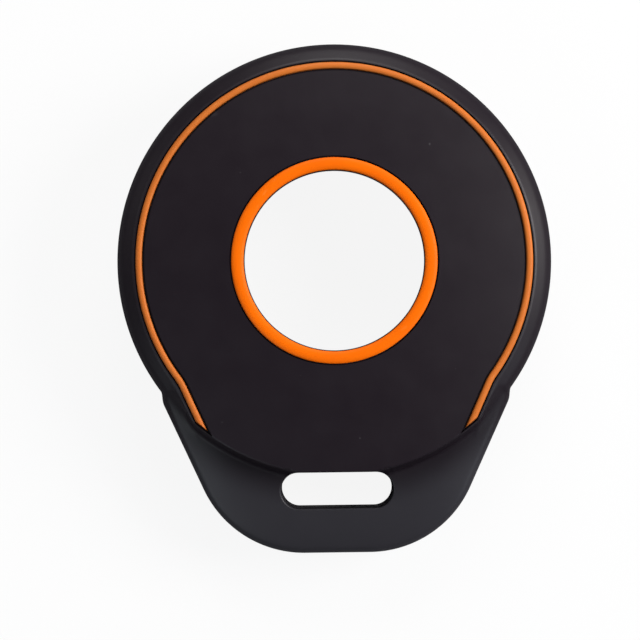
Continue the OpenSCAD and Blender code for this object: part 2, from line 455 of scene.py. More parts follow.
@dataclass
class CoverFace:
    """Heights of the cover's front face over its plan."""

    plan: CoverPlan
    gap_w: float = 0.18
    gap_depth: float = 0.45
    groove_draft: float = 0.03
    slot_lip_r: float = 0.25
    tail_edge_r: float = 0.8
    roll_w: float = 5.5
    roll_drop: float = 0.9
    lobe_from: float = 4.0
    lobe_fade: float = 4.0
    lobe_edge_w: float = 0.7
    step_from: float = 26.75
    step_w: float = 0.9
    step_edge: float = 0.25
    step_power: float = 3.0
    neck_from: float = 0.9
    neck_w: float = 1.7
    neck_power: float = 2.0
    neck_fade: float = 0.7
    dome_reach: float = 40.0

    def __post_init__(self) -> None:
        """Works out the levels that the faces start from."""
        plan, sizes = self.plan, self.plan.sizes
        self.dome_mid = sizes.cover_depth - math.sqrt(sizes.dome_r**2 - sizes.ring_out_r**2)
        self.bevel_in = plan.line_r + sizes.face_lip
        edge = self.dome_mid + math.sqrt(sizes.dome_r**2 - sizes.head_r**2)
        self.tail_z = edge - sizes.step_h

    def lobe_share(self, points: Points) -> Values:
        """Share of the raised lobe between the line's straight ends.

        Args:
            points: Points in the plan.

        Returns:
            1 on the lobe, 0 on the bevelled rim.
        """
        below = smooth_share((-self.lobe_from - folded(points) @ self.plan.up) / self.lobe_fade)
        past_lip = self.plan.line_gap(points) - self.plan.sizes.face_lip
        return below * (1.0 - smooth_share(past_lip / self.lobe_edge_w))

    def raised_share(self, points: Points, inset: float = 0.0) -> Values:
        """Share of the raised head above the tail's lower face.

        Outside the lobe, at the necks, the step starts further in and falls wider and softer.

        Args:
            points: Points in the plan.
            inset: Distance by which the step is moved inwards.

        Returns:
            1 on the head, 0 on the tail.
        """
        outside = 1.0 - self.lobe_share(points)
        step_from = self.step_from - self.neck_from * outside
        step_w = self.step_w + self.neck_w * outside
        power = self.step_power + (self.neck_power - self.step_power) * outside
        past_edge = smooth_max(reach_of(points) + inset - step_from, 0.0, self.step_edge)
        share = np.clip(1.0 - past_edge / step_w, 0.0, 1.0) ** power
        past_head = self.plan.tail_reach(turn_of(points), 0.0) - self.plan.sizes.head_r
        return 1.0 - (1.0 - share) * smooth_share(past_head / self.neck_fade)

    def face(self, points: Points, inset: float = 0.0) -> Values:
        """Height of the face without its rims, lips and groove.

        Args:
            points: Points in the plan.
            inset: Distance by which a face below is set in from the front face.

        Returns:
            Heights above the back.
        """
        sizes = self.plan.sizes
        radius = reach_of(points)
        dome = self.dome_mid + np.sqrt(sizes.dome_r**2 - np.minimum(radius, self.dome_reach) ** 2)
        bevel = np.maximum(radius - self.bevel_in, 0.0) * math.tan(math.radians(sizes.rim_lean))
        if inset:
            bevel = 0.0
        top = dome - bevel * (1.0 - self.lobe_share(points))
        tail = self.tail_z + (points[:, 1] + sizes.head_r) * math.tan(math.radians(sizes.tail_fall))
        return tail + (top - tail) * self.raised_share(points, inset) - inset

    def rim_radius(self, points: Points) -> Values:
        """Radius of the front rim, which is a little smaller round the tail."""
        return self.tail_edge_r + (self.plan.sizes.rim_r - self.tail_edge_r) * self.raised_share(points)

    def gap_drop(self, space: Values) -> Values:
        """Drop into the narrow gap at a space beside an inlay's rebate, 0 on the face."""
        share = (self.gap_w + self.groove_draft - space) / self.groove_draft
        return self.gap_depth * np.clip(share, 0.0, 1.0)

    def roll(self, points: Points) -> Values:
        """Drop of the tail's face towards its rim, 0 on the head."""
        near = np.clip(1.0 - self.plan.rim_gap(points) / self.roll_w, 0.0, 1.0)
        return self.roll_drop * near**2 * (1.0 - self.raised_share(points))

    def height(self, points: Points) -> Values:
        """Height of the finished front face.

        Args:
            points: Points in the plan.

        Returns:
            Heights above the back.
        """
        plan = self.plan
        rim = round_drop(plan.rim_gap(points), self.rim_radius(points))
        window = self.gap_drop(reach_of(points) - plan.sizes.ring_out_r)
        slot = round_drop(plan.slot_gap(points), self.slot_lip_r)
        gap = plan.groove_gap(points)
        beside = self.gap_drop(gap)
        wall = np.clip(-gap / self.groove_draft, 0.0, 1.0)
        groove = beside + (plan.sizes.line_seat - beside) * wall
        return self.face(points) - rim - self.roll(points) - window - slot - groove

    def edge(self, points: Points) -> Values:
        """Height at which the front rim meets the side wall, for points on the outline."""
        return self.face(points) - self.roll(points) - self.rim_radius(points)


def close_mesh(name: str, mesh: bpy.types.Mesh) -> None:
    """Welds a mesh, turns its faces outwards, marks its sharp edges and reports it.

    Args:
        name: Name of the piece.
        mesh: The piece's mesh.
    """
    work = bmesh.new()
    work.from_mesh(mesh)
    bmesh.ops.remove_doubles(work, verts=work.verts, dist=WELD)
    bmesh.ops.recalc_face_normals(work, faces=work.faces)
    open_edges = sum(1 for edge in work.edges if len(edge.link_faces) != 2)
    logging.info("%s: %d faces, %d open edges", name, len(work.faces), open_edges)
    work.to_mesh(mesh)
    work.free()
    mesh.shade_smooth()
    mesh.set_sharp_from_angle(angle=SHARP_ANGLE)


def linked_object(name: str, data: bpy.types.ID) -> bpy.types.Object:
    """Makes an object and links it to the scene.

    Args:
        name: Name of the object.
        data: Its mesh, camera or light.

    Returns:
        The object.
    """
    made = bpy.data.objects.new(name, data)
    bpy.context.scene.collection.objects.link(made)
    return made


class Shell:
    """One mesh gathered from skins and strips that meet in shared loops."""

    plan_weld = 1e-6

    def __init__(self, middle_y: float) -> None:
        """Starts an empty mesh.

        Args:
            middle_y: Place of the window's axis along the cover.
        """
        self.middle_y = middle_y
        self.points: list[Points] = []
        self.faces: list[tuple[int, ...]] = []
        self.count = 0

    def add(self, points: Points, faces: Points) -> None:
        """Adds points and the faces between them.

        Args:
            points: One x, y, z row for each point.
            faces: Indices into those points.
        """
        self.points.append(points)
        self.faces.extend(tuple(int(i) + self.count for i in face) for face in faces)
        self.count += len(points)

    def strip(self, loops: list[Points]) -> None:
        """Joins closed loops of the same length, each to the next.

        Args:
            loops: Loops of x, y, z rows.
        """
        size = len(loops[0])
        index = np.arange(size)
        quad = np.column_stack([index, np.roll(index, -1), np.roll(index, -1) + size, index + size])
        faces = [quad + row * size for row in range(len(loops) - 1)]
        self.add(np.vstack(loops), np.vstack(faces))

    def skin(
        self,
        edges: list[Points],
        creases: list[Points],
        fill: Points,
        height: Callable[[Points], Values],
        keep: Callable[[Points], Values],
    ) -> None:
        """Adds a face over the plan between closed edge loops.

        Args:
            edges: Edge loops of x, y, z rows, which keep their heights.
            creases: Closed loops in the plan that the faces follow.
            fill: Further points in the plan.
            height: Gives the heights of all points but the edges'.
            keep: Tells for points in the plan whether they lie on the face.
        """
        loops = [loop[:, :2] for loop in edges] + creases
        plan = np.vstack([*loops, fill])
        fixed = np.concatenate([loop[:, 2] for loop in edges])
        borders = []
        start = 0
        for loop in loops:
            borders += [(start + i, start + (i + 1) % len(loop)) for i in range(len(loop))]
            start += len(loop)
        made = delaunay_2d_cdt([Vector(point) for point in plan.tolist()], borders, [], 0, self.plan_weld)
        spots = np.array([tuple(spot) for spot in made[0]])
        triangles = np.array([tuple(face) for face in made[2]])
        sources = np.array([min(source) if source else len(plan) for source in made[3]])
        heights = height(spots)
        on_edge = sources < len(fixed)
        heights[on_edge] = fixed[sources[on_edge]]
        kept = triangles[keep(spots[triangles].mean(axis=1))]
        used, faces = np.unique(kept, return_inverse=True)
        self.add(lifted(spots[used], heights[used]), faces.reshape(kept.shape))

    def build(self, name: str) -> bpy.types.Object:
        """Makes the finished mesh, welded where its loops meet.

        Args:
            name: Name of the piece.

        Returns:
            The piece's object, at the origin.
        """
        points = np.vstack(self.points) + [0.0, self.middle_y, 0.0]
        mesh = bpy.data.meshes.new(name)
        mesh.from_pydata((points * MM).tolist(), [], self.faces)
        close_mesh(name, mesh)
        return linked_object(name, mesh)


@dataclass(frozen=True)
class Spacing:
    """Where the moulding's points lie, in millimetres and degrees.

    The rings follow an edge at growing distances. A name with _to_ is the least distance
    of the first set of points from the second thing. A span or an arc is its first value,
    its end and its step.
    """

    grid: float = 0.75
    back_grid: float = 1.6
    pocket_grid: float = 1.3
    line: float = 0.4
    window_count: int = 220
    mouth_count: int = 180
    outline_stops: Steps = (0.0, 6.0, 30.0, 44.0, 54.0, 180.0)
    outline_steps: Steps = (0.75, 0.5, 0.75, 0.2, 1.0)
    near_ring: float = 0.09
    next_ring: float = 0.25
    wide_rings: Steps = (0.4, 0.6, 0.85)
    slot_rings: Steps = (0.02, 0.07, 0.14, 0.24, 0.36, 0.52, 0.75, 1.05)
    rim_rings: Steps = (0.02, 0.06, 0.13, 0.23, 0.36, 0.52)
    deep_rings: Steps = (0.72, 0.95, 1.25, 1.6, 2.0, 2.4, 2.8)
    deep_from_r: float = 20.0
    side_shares: Steps = (1.0, 0.8, 0.55, 0.3, 0.1, 0.0)
    back_edge_steps: int = 6
    floor_edge_steps: int = 4
    lip_steps: int = 3
    step_spans: tuple[Steps, ...] = ((26.1, 26.6, 0.12), (26.62, 27.3, 0.06), (27.35, 28.25, 0.1))
    step_arc: Steps = (-52.0, 52.1, 0.45)
    step_middle_r: float = 27.15
    step_half_w: float = 1.05
    step_end_turn: float = 53.0
    under_span: Steps = (24.7, 26.4, 0.1)
    under_arc: Steps = (-48.0, 48.1, 0.8)
    under_half_w: float = 1.3
    under_end_turn: float = 52.0
    deep_to_line: float = 0.95
    rings_to_step: float = 0.12
    step_to_line: float = 0.33
    step_to_slot: float = 1.15
    step_to_rim: float = 0.62
    grid_to_line: float = 1.25
    grid_to_slot: float = 1.5
    grid_to_step: float = 0.35
    grid_to_window: float = 1.5
    grid_to_rim: float = 3.3
    back_to_rim: float = 0.9
    back_to_slot: float = 1.2
    back_to_mouth: float = 0.8
    pocket_to_edge: float = 0.7
    floor_to_slot: float = 0.9
    under_to_edge: float = 0.3


@dataclass
class CoverBody:
    """The hollow black moulding, open at the back, in the window and in the slot."""

    plan: CoverPlan
    face: CoverFace
    spacing: Spacing = Spacing()
    pocket_r: float = 0.5
    pocket_top_r: float = 0.9
    mouth_r: float = 0.4
    edge_r: float = 0.15

    def __post_init__(self) -> None:
        """Starts the mesh and works out what its faces share."""
        self.shell = Shell(self.plan.sizes.window_y)
        self.turns = self.outline_turns()
        self.slot = self.plan.slot_loop(0.0)
        self.grown_slot = self.plan.slot_loop(self.edge_r)

    def outline_turns(self) -> Values:
        """Angles of the outline's points all round from the tail, close together at the necks.

        Returns:
            The angles in radians.
        """
        stops = np.radians(self.spacing.outline_stops)
        steps = np.radians(self.spacing.outline_steps)
        runs = [
            np.linspace(first, last, max(int(round((last - first) / step)), 2), endpoint=False)
            for first, last, step in zip(stops[:-1], stops[1:], steps)
        ]
        right = np.concatenate(runs)
        return np.concatenate([right, [np.pi], -right[:0:-1]])

    def clear(self, points: Points, rim: float, hole: float, slot: float) -> Points:
        """Keeps the points that are far enough inside the outline, from the axis and outside the slot."""
        kept = (self.plan.rim_gap(points) > rim) & (self.plan.slot_gap(points) > slot)
        return points[kept & (reach_of(points) > hole)]

    def lattice(self, step: float, rim: float, hole: float, slot: float) -> Points:
        """Points of a triangular grid over the plan.

        Args:
            step: Distance between points.
            rim: Least distance inside the outline.
            hole: Least distance from the window's axis.
            slot: Least distance outside the slot.

        Returns:
            The grid's points.
        """
        reach = self.plan.sizes.tail_len + step
        columns = np.arange(-reach, reach, step)
        levels = np.arange(-reach, reach, step * math.sqrt(3) / 2)
        rows = [
            np.column_stack([columns + step / 2 * (row % 2), np.full_like(columns, level)])
            for row, level in enumerate(levels)
        ]
        return self.clear(np.vstack(rows), rim, hole, slot)

    def front_fill(self) -> Points:
        """Points of the front face where it curves, and a grid in between.

        Returns:
            The points in the plan, clear of the loops that the face follows.
        """
        plan, face, space = self.plan, self.face, self.spacing
        ring_out_r = plan.sizes.ring_out_r

        def window_ring(grow: float) -> Points:
            """A ring round the window's rebate."""
            return circle(ring_out_r + grow, space.window_count)

        def line_ring(grow: float) -> Points:
            """A loop round the groove."""
            return plan.groove_loop(grow, space.line)

        def rim_ring(inset: float) -> Points:
            """A loop inside the outline."""
            return plan.outline(self.turns, inset)

        def off_line(points: Points, clear: float) -> Values:
            """Points clear of the groove."""
            return plan.groove_gap(points) > clear

        def off_step(points: Points, clear: float) -> Values:
            """Points clear of the step's rings."""
            off = np.abs(reach_of(points) - space.step_middle_r) > space.step_half_w + clear
            return off | (turn_of(points) > math.radians(space.step_end_turn))

        around = (space.near_ring, face.gap_w, face.gap_w + face.groove_draft, space.next_ring)
        window = gathered(window_ring, (*around, *space.wide_rings))
        close = gathered(line_ring, (space.near_ring, space.next_ring))
        wide = gathered(line_ring, space.wide_rings)
        wide = wide[off_step(wide, space.rings_to_step)]
        slot = gathered(plan.slot_loop, space.slot_rings)
        rim = gathered(rim_ring, space.rim_rings)
        deep = gathered(rim_ring, space.deep_rings)
        deep = deep[off_line(deep, space.deep_to_line) & off_step(deep, space.rings_to_step)]
        deep = deep[reach_of(deep) > space.deep_from_r]
        arcs = np.radians(np.arange(*space.step_arc))
        radii = np.concatenate([np.arange(*span) for span in space.step_spans])
        step = gathered(lambda radius: polar(arcs, radius), radii)
        step = self.clear(step, space.step_to_rim, ring_out_r, space.step_to_slot)
        step = step[off_line(step, space.step_to_line)]
        to_window = ring_out_r + space.grid_to_window
        grid = self.lattice(space.grid, space.grid_to_rim, to_window, space.grid_to_slot)
        grid = grid[off_line(grid, space.grid_to_line) & off_step(grid, space.grid_to_step)]
        return np.vstack([window, close, wide, slot, rim, deep, step, grid])

    def front(self) -> None:
        """Adds the front face down to the side wall, the window and the slot."""
        plan, face, sizes = self.plan, self.face, self.plan.sizes
        rim = plan.outline(self.turns)
        window = circle(sizes.ring_out_r, self.spacing.window_count)
        edges = [
            lifted(rim, face.edge(rim)),
            lifted(window, sizes.cover_depth - face.gap_depth),
            lifted(self.slot, face.face(self.slot) - face.slot_lip_r),
        ]
        grows = (-face.groove_draft, 0.0, face.gap_w, face.gap_w + face.groove_draft)
        creases = [plan.groove_loop(grow, self.spacing.line) for grow in grows]

        def on_face(points: Points) -> Values:
            """Points between the outline, the window and the slot."""
            past_window = reach_of(points) > sizes.ring_out_r
            return plan.within(points) & past_window & (plan.slot_gap(points) > HAIR)

        self.shell.skin(edges, creases, self.front_fill(), face.height, on_face)

    def holed_face(
        self, rim: float, hole: float, count: int, height: Callable[[Points], Values], fill: Points
    ) -> None:
        """Adds a face between the outline, a round hole and the slot with its rounded edge.

        Args:
            rim: Distance of the face's edge inside the outline.
            hole: Radius of the hole.
            count: Number of points round the hole.
            height: Gives the heights of points in the plan.
            fill: Further points in the plan.
        """
        loops = (self.plan.outline(self.turns, rim), circle(hole, count), self.grown_slot)

        def between(points: Points) -> Values:
            """Points between the three loops."""
            past_slot = self.plan.slot_gap(points) > self.edge_r + HAIR
            return self.plan.within(points, rim) & (reach_of(points) > hole) & past_slot

        self.shell.skin([lifted(loop, height(loop)) for loop in loops], [], fill, height, between)

    def ceiling(self, points: Points) -> Values:
        """Heights of the pocket's ceiling."""
        return self.face.face(points, self.plan.sizes.wall)

    def back(self) -> None:
        """Adds the flat back round its opening."""
        space, rim = self.spacing, self.plan.sizes.back_edge_r
        mouth = self.plan.sizes.back_open_r + self.mouth_r
        to_rim, to_mouth = rim + space.back_to_rim, mouth + space.back_to_mouth
        fill = self.lattice(space.back_grid, to_rim, to_mouth, space.back_to_slot)
        self.holed_face(rim, mouth, space.mouth_count, lambda points: np.zeros(len(points)), fill)

    def pocket_floor(self) -> None:
        """Adds the floor of the pocket that holds the fob."""
        space, wall = self.spacing, self.plan.sizes.wall
        rim = wall + self.pocket_r
        mouth = self.plan.sizes.back_open_r + self.edge_r
        to_rim, to_mouth = rim + space.pocket_to_edge, mouth + space.pocket_to_edge
        fill = self.lattice(space.pocket_grid, to_rim, to_mouth, space.floor_to_slot)
        self.holed_face(rim, mouth, space.mouth_count, lambda points: np.full(len(points), wall), fill)

    def pocket_ceiling(self) -> None:
        """Adds the ceiling of the pocket, which steps down with the front face."""
        sizes, space = self.plan.sizes, self.spacing
        rim = sizes.wall + self.pocket_top_r
        window = sizes.window_r + self.edge_r
        to_rim, to_window = rim + space.pocket_to_edge, window + space.pocket_to_edge
        grid = self.lattice(space.pocket_grid, to_rim, to_window, space.pocket_to_edge)
        under = np.abs(reach_of(grid) + sizes.wall - sizes.head_r) < space.under_half_w
        under &= turn_of(grid) < math.radians(space.under_end_turn)
        arcs = np.radians(np.arange(*space.under_arc))
        step = gathered(lambda reach: polar(arcs, reach), np.arange(*space.under_span))
        step = self.clear(step, rim + space.under_to_edge, window, space.under_to_edge)
        self.holed_face(rim, window, space.window_count, self.ceiling, np.vstack([grid[~under], step]))

    def round_loops(
        self, inset: float, level: Values | float, radius: float, rise: float, angles: Values
    ) -> list[Points]:
        """Loops of a quarter round between an upright wall and a face.

        Args:
            inset: Distance of the wall inside the outline.
            level: Height of the face.
            radius: Radius of the round.
            rise: 1 where the wall rises from the face, -1 where it hangs from it.
            angles: Turns of the loops, 0 at the wall.

        Returns:
            The loops.
        """
        return [
            lifted(
                self.plan.outline(self.turns, inset + radius * (1.0 - math.cos(angle))),
                level + rise * radius * (1.0 - math.sin(angle)),
            )
            for angle in angles
        ]

    def side(self) -> None:
        """Adds the side wall and the rounded back edge."""
        radius = self.plan.sizes.back_edge_r
        outline = self.plan.outline(self.turns)
        top = self.face.edge(outline)
        loops = [lifted(outline, radius + (top - radius) * share) for share in self.spacing.side_shares]
        angles = quarter(self.spacing.back_edge_steps)[1:]
        self.shell.strip(loops + self.round_loops(0.0, 0.0, radius, 1.0, angles))

    def pocket_wall(self) -> None:
        """Adds the wall of the pocket, rounded into its floor and its ceiling."""
        wall = self.plan.sizes.wall
        top = self.ceiling(self.plan.outline(self.turns, wall + self.pocket_top_r))
        up = quarter(self.spacing.floor_edge_steps)[::-1]
        over = quarter(self.spacing.lip_steps)
        floor_round = self.round_loops(wall, wall, self.pocket_r, 1.0, up)
        self.shell.strip(floor_round + self.round_loops(wall, top, self.pocket_top_r, -1.0, over))

    def turned_wall(self, profile: list[tuple[float, float]], count: int) -> None:
        """Adds a wall round the window's axis, from radius and height pairs."""
        self.shell.strip([lifted(circle(radius, count), height) for radius, height in profile])

    def window_wall(self) -> None:
        """Adds the wall of the window: the ring's rebate, the thin ledge and the edge below."""
        sizes, rounded = self.plan.sizes, self.edge_r
        edge_in = float(self.ceiling(circle(sizes.window_r, 1))[0])
        lip_in = float(self.ceiling(circle(sizes.window_r + rounded, 1))[0])
        profile = [
            (sizes.ring_out_r, sizes.cover_depth - self.face.gap_depth),
            (sizes.ring_out_r, sizes.seat_z),
            (sizes.window_r + rounded / 2, sizes.seat_z),
            (sizes.window_r + rounded / 6, sizes.seat_z - rounded / 6),
            (sizes.window_r, sizes.seat_z - rounded / 2),
            (sizes.window_r, edge_in + rounded),
            (sizes.window_r + rounded / 3, edge_in + rounded / 3),
            (sizes.window_r + rounded, lip_in),
        ]
        self.turned_wall(profile, self.spacing.window_count)

    def mouth_wall(self) -> None:
        """Adds the wall of the opening at the back, with its rounded lip."""
        open_r, wall, lip = self.plan.sizes.back_open_r, self.plan.sizes.wall, self.mouth_r
        profile = [
            (open_r + lip * (1.0 - math.sin(turn)), lip * (1.0 - math.cos(turn)))
            for turn in quarter(self.spacing.lip_steps)
        ]
        profile += [(open_r, wall - self.edge_r), (open_r + self.edge_r, wall)]
        self.turned_wall(profile, self.spacing.mouth_count)

    def slot_walls(self) -> None:
        """Adds the walls of the slot, through the front wall and through the back wall."""
        wall, rounded, slot, grown = self.plan.sizes.wall, self.edge_r, self.slot, self.grown_slot
        top = self.face.face(slot) - self.face.slot_lip_r
        under = self.ceiling(grown)
        front_steps = ((slot, top), (slot, (top + under) / 2), (slot, under + rounded), (grown, under))
        back_steps = ((grown, 0.0), (slot, rounded), (slot, wall - rounded), (grown, wall))
        for steps in (front_steps, back_steps):
            self.shell.strip([lifted(loop, height) for loop, height in steps])

    def build(self) -> bpy.types.Object:
        """Makes the moulding.

        Returns:
            The piece's object.
        """
        self.front()
        self.side()
        self.back()
        self.pocket_floor()
        self.pocket_ceiling()
        self.pocket_wall()
        self.window_wall()
        self.slot_walls()
        self.mouth_wall()
        return self.shell.build("moulded_cover")


class Tree:
    """Adds and joins the nodes of one node tree."""

    def __init__(self, tree: bpy.types.NodeTree) -> None:
        """Wraps a tree."""
        self.tree = tree

    @classmethod
    def group(
        cls, name: str, kind: str, inputs: dict[str, tuple[str, object]], outputs: dict[str, str]
    ) -> Tree:
        """Starts a node group with named inputs and outputs.

        Args:
            name: Name of the group.
            kind: Type of the tree.
            inputs: Socket type and first value of each input.
            outputs: Socket type of each output.

        Returns:
            The wrapped tree, with its input and output nodes.
        """
        tree = bpy.data.node_groups.new(name, kind)
        for label, (socket, value) in inputs.items():
            made = tree.interface.new_socket(name=label, in_out="INPUT", socket_type=socket)
            if value is not None:
                made.default_value = value
        for label, socket in outputs.items():
            tree.interface.new_socket(name=label, in_out="OUTPUT", socket_type=socket)
        wrapped = cls(tree)
        wrapped.inputs = tree.nodes.new("NodeGroupInput").outputs
        wrapped.outputs = tree.nodes.new("NodeGroupOutput").inputs
        return wrapped

    @classmethod
    def cleared(cls, owner: bpy.types.Material | bpy.types.World) -> Tree:
        """Wraps the emptied tree of a material or a world.

        Args:
            owner: The material or world.

        Returns:
            The wrapped tree.
        """
        owner.use_nodes = True
        owner.node_tree.nodes.clear()
        return cls(owner.node_tree)

    def add(self, kind: str, settings: dict[str, object] | None = None, **wired: object) -> bpy.types.Node:
        """Adds a node.

        Args:
            kind: Type of the node.
            settings: Properties of the node.
            wired: Value or source socket of each input, by its name with underscores.

        Returns:
            The node.
        """
        node = self.tree.nodes.new(kind)
        for label, value in (settings or {}).items():
            setattr(node, label, value)
        for label, value in wired.items():
            self.feed(node.inputs[label.replace("_", " ")], value)
        return node

    def feed(self, socket: bpy.types.NodeSocket, value: object) -> None:
        """Gives an input its value or joins a source to it.

        Args:
            socket: The input.
            value: A value, or the output socket that feeds it.
        """
        if isinstance(value, bpy.types.NodeSocket):
            self.tree.links.new(value, socket)
        else:
            socket.default_value = value

    def feed_each(self, sockets: Iterable[bpy.types.NodeSocket], values: Iterable[object]) -> None:
        """Gives each input its value or source."""
        for socket, value in zip(sockets, values):
            self.feed(socket, value)

    def math(self, operation: str, *values: object, clamp: bool = False) -> bpy.types.NodeSocket:
        """Adds a sum of one to three numbers.

        Args:
            operation: The sum, such as ADD.
            values: Numbers or sockets.
            clamp: Whether the result is held between 0 and 1.

        Returns:
            The result's socket.
        """
        node = self.add("ShaderNodeMath", {"operation": operation, "use_clamp": clamp})
        self.feed_each(node.inputs, values)
        return node.outputs[0]

    def product(self, first: object, *others: object) -> bpy.types.NodeSocket:
        """Multiplies numbers, from the left.

        Args:
            first: Number or socket.
            others: Further numbers or sockets.

        Returns:
            The product's socket.
        """
        for other in others:
            first = self.math("MULTIPLY", first, other)
        return first

    def eased(self, value: object, first: object, last: object) -> bpy.types.NodeSocket:
        """Adds a smooth share of a value, 0 up to the first number and 1 from the last."""
        node = self.add(
            "ShaderNodeMapRange",
            {"interpolation_type": "SMOOTHSTEP"},
            Value=value,
            From_Min=first,
            From_Max=last,
        )
        return node.outputs["Result"]

    def mix(self, share: object, first: object, second: object) -> bpy.types.NodeSocket:
        """Mixes two colours.

        Args:
            share: Share of the second colour.
            first: First colour.
            second: Second colour.

        Returns:
            The mixed colour's socket.
        """
        node = self.add("ShaderNodeMix", {"data_type": "RGBA"})
        self.feed_each((node.inputs[0], node.inputs[6], node.inputs[7]), (share, first, second))
        return node.outputs[2]

    def mix_shaders(
        self, share: object, first: bpy.types.Node, second: bpy.types.Node
    ) -> bpy.types.NodeSocket:
        """Mixes two shaders.

        Args:
            share: Share of the second shader.
            first: First shader.
            second: Second shader.

        Returns:
            The mixed shader's socket.
        """
        node = self.add("ShaderNodeMixShader")
        self.feed_each(node.inputs, (share, first.outputs[0], second.outputs[0]))
        return node.outputs[0]


SECTION_INPUTS = {
    "Half width": ("NodeSocketFloat", 0.0005),
    "Side height": ("NodeSocketFloat", 0.0005),
    "Crown": ("NodeSocketFloat", 0.0001),
}


def crowned_section(
    points_round: int = 56, boxed: float = 1.6, just_below: float = -1e-4
) -> bpy.types.NodeTree:
    """Makes the node group for the section of an inlay: a box with a crowned top.

    Args:
        points_round: Points round the section.
        boxed: How far the lower half of a circle is stretched before it is clipped to a box.
        just_below: Height on the circle from which a point belongs to its upper half.

    Returns:
        The group, which puts out the closed section with its half width along X.
    """
    outputs = {"Section": "NodeSocketGeometry"}
    tree = Tree.group("crowned_section", "GeometryNodeTree", SECTION_INPUTS, outputs)
    ring = tree.add("GeometryNodeCurvePrimitiveCircle", Resolution=points_round, Radius=1.0)
    place = tree.add("ShaderNodeSeparateXYZ", Vector=tree.add("GeometryNodeInputPosition").outputs[0])
    top = tree.math("GREATER_THAN", place.outputs["Y"], just_below)
    square = tree.math("SUBTRACT", boxed, tree.math("MULTIPLY", boxed - 1.0, top))
    across = tree.math("MAXIMUM", tree.math("MULTIPLY", place.outputs["X"], square), -1.0)
    across = tree.math("MINIMUM", across, 1.0)
    low = tree.math("MAXIMUM", tree.math("MULTIPLY", place.outputs["Y"], square), -1.0)
    rise = tree.math("MULTIPLY", tree.math("MAXIMUM", low, 0.0), tree.inputs["Crown"])
    foot = tree.math("ADD", tree.math("MINIMUM", low, 0.0), 1.0)
    height = tree.math("ADD", tree.math("MULTIPLY", foot, tree.inputs["Side height"]), rise)
    shape = tree.add(
        "ShaderNodeCombineXYZ",
        X=tree.math("MULTIPLY", across, tree.inputs["Half width"]),
        Y=tree.math("MULTIPLY", height, -1.0),
    )
    moved = tree.add("GeometryNodeSetPosition", Geometry=ring.outputs[0], Position=shape.outputs[0])
    tree.feed(tree.outputs["Section"], moved.outputs[0])
    return tree.tree


